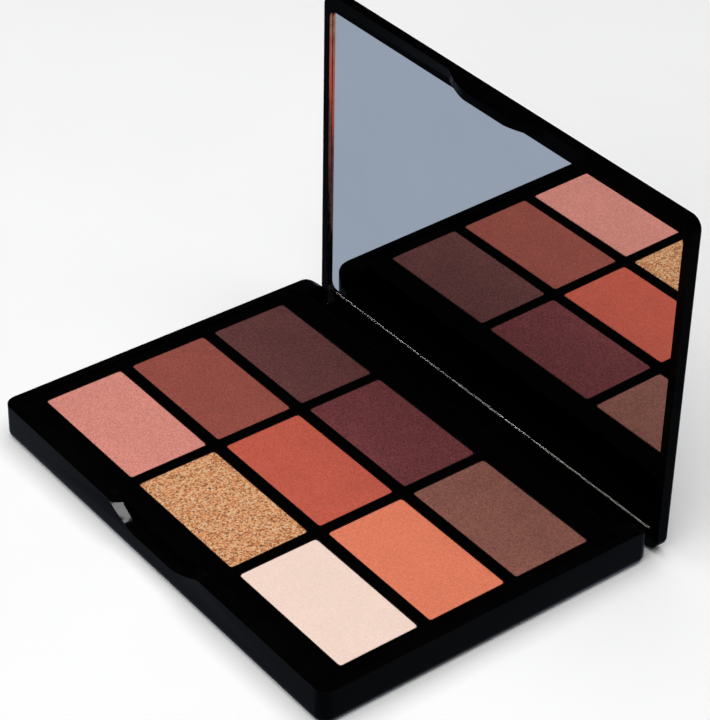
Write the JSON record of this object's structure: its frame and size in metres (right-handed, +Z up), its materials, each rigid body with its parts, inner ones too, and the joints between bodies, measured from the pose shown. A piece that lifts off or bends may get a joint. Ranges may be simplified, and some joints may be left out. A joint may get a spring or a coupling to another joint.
{
  "type": "eyeshadow palette",
  "caption": "Slim rectangular eyeshadow palette with a grid of pressed powder pans under a hinged lid that holds a full-size mirror.",
  "frame": {"origin": "centre of the base's flat underside", "axes": "+X along the hinge, +Y from the front edge to the hinge, +Z up; stored with the lid open"},
  "size_m": [0.12, 0.0941, 0.086],
  "materials": {
    "shell_plastic": "polished black moulding",
    "deck_plastic": "black moulding, slightly softer gloss",
    "pan_metal": "thin pressed metal, satin",
    "glue": "soft adhesive",
    "pin_steel": "drawn wire",
    "label_paper": "blank coated label",
    "mirror_glass": "silvered glass",
    "tape": "foam tape",
    "powder_front_left": "satin pressed powder, warm pink",
    "powder_front_centre": "glittery pressed powder, gold",
    "powder_front_right": "satin pressed powder, cream",
    "powder_middle_left": "matte pressed powder, brick",
    "powder_middle_centre": "satin pressed powder, coral red",
    "powder_middle_right": "satin pressed powder, orange",
    "powder_rear_left": "matte pressed powder, plum brown",
    "powder_rear_centre": "matte pressed powder, burgundy",
    "powder_rear_right": "matte pressed powder, taupe brown"
  },
  "bodies": {
    "base": {"base_shell": "shell_plastic", "pan_deck": "deck_plastic", "pan_front_left": "pan_metal", "powder_front_left": "powder_front_left", "glue_pad_front_left": "glue", "pan_front_centre": "pan_metal", "powder_front_centre": "powder_front_centre", "glue_pad_front_centre": "glue", "pan_front_right": "pan_metal", "powder_front_right": "powder_front_right", "glue_pad_front_right": "glue", "pan_middle_left": "pan_metal", "powder_middle_left": "powder_middle_left", "glue_pad_middle_left": "glue", "pan_middle_centre": "pan_metal", "powder_middle_centre": "powder_middle_centre", "glue_pad_middle_centre": "glue", "pan_middle_right": "pan_metal", "powder_middle_right": "powder_middle_right", "glue_pad_middle_right": "glue", "pan_rear_left": "pan_metal", "powder_rear_left": "powder_rear_left", "glue_pad_rear_left": "glue", "pan_rear_centre": "pan_metal", "powder_rear_centre": "powder_rear_centre", "glue_pad_rear_centre": "glue", "pan_rear_right": "pan_metal", "powder_rear_right": "powder_rear_right", "glue_pad_rear_right": "glue", "underside_label": "label_paper"},
    "lid": {"lid_shell": "shell_plastic", "hinge_pin_left": "pin_steel", "hinge_pin_right": "pin_steel", "mirror": "mirror_glass", "mirror_tape": "tape"}
  },
  "joints": [
    {"name": "lid_hinge", "type": "hinge", "parent": "base", "child": "lid", "pos_m": [0, 0.0412, 0.00215], "axis": [-1, 0, 0], "range_deg": [-89.24, 0]}
  ]
}
